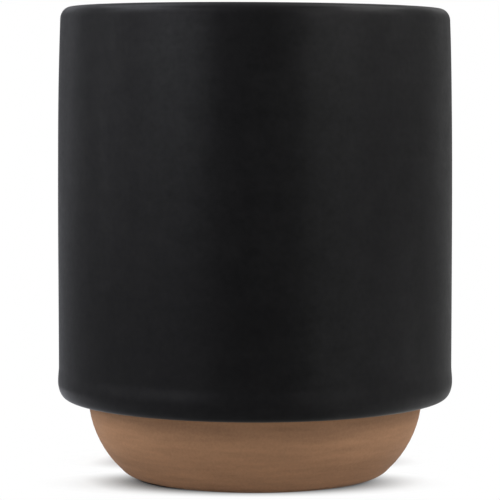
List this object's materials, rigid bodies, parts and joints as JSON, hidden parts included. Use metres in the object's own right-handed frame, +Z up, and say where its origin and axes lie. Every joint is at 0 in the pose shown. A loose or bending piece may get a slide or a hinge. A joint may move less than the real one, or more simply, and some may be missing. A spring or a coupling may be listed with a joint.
{
  "type": "mug",
  "caption": "Handleless round stoneware mug with a matt black glazed wall, a rounded rim, an overhanging lip and a narrower bare clay foot that lets it stack.",
  "frame": {"origin": "centre of the foot ring, on the table", "axes": "+Z up the axis that the mug was turned on; +X and +Y lie in the table, in no special direction, because the mug is round"},
  "size_m": [0.0818, 0.0818, 0.0963],
  "materials": {
    "bare_clay": "bare fired clay, fine grain, matt",
    "matt_glaze": "matt black glaze with a soft sheen",
    "liner_glaze": "satin black liner glaze"
  },
  "bodies": {
    "root": {"clay_body": "bare_clay", "outer_glaze": "matt_glaze", "liner_glaze": "liner_glaze"}
  },
  "joints": []
}
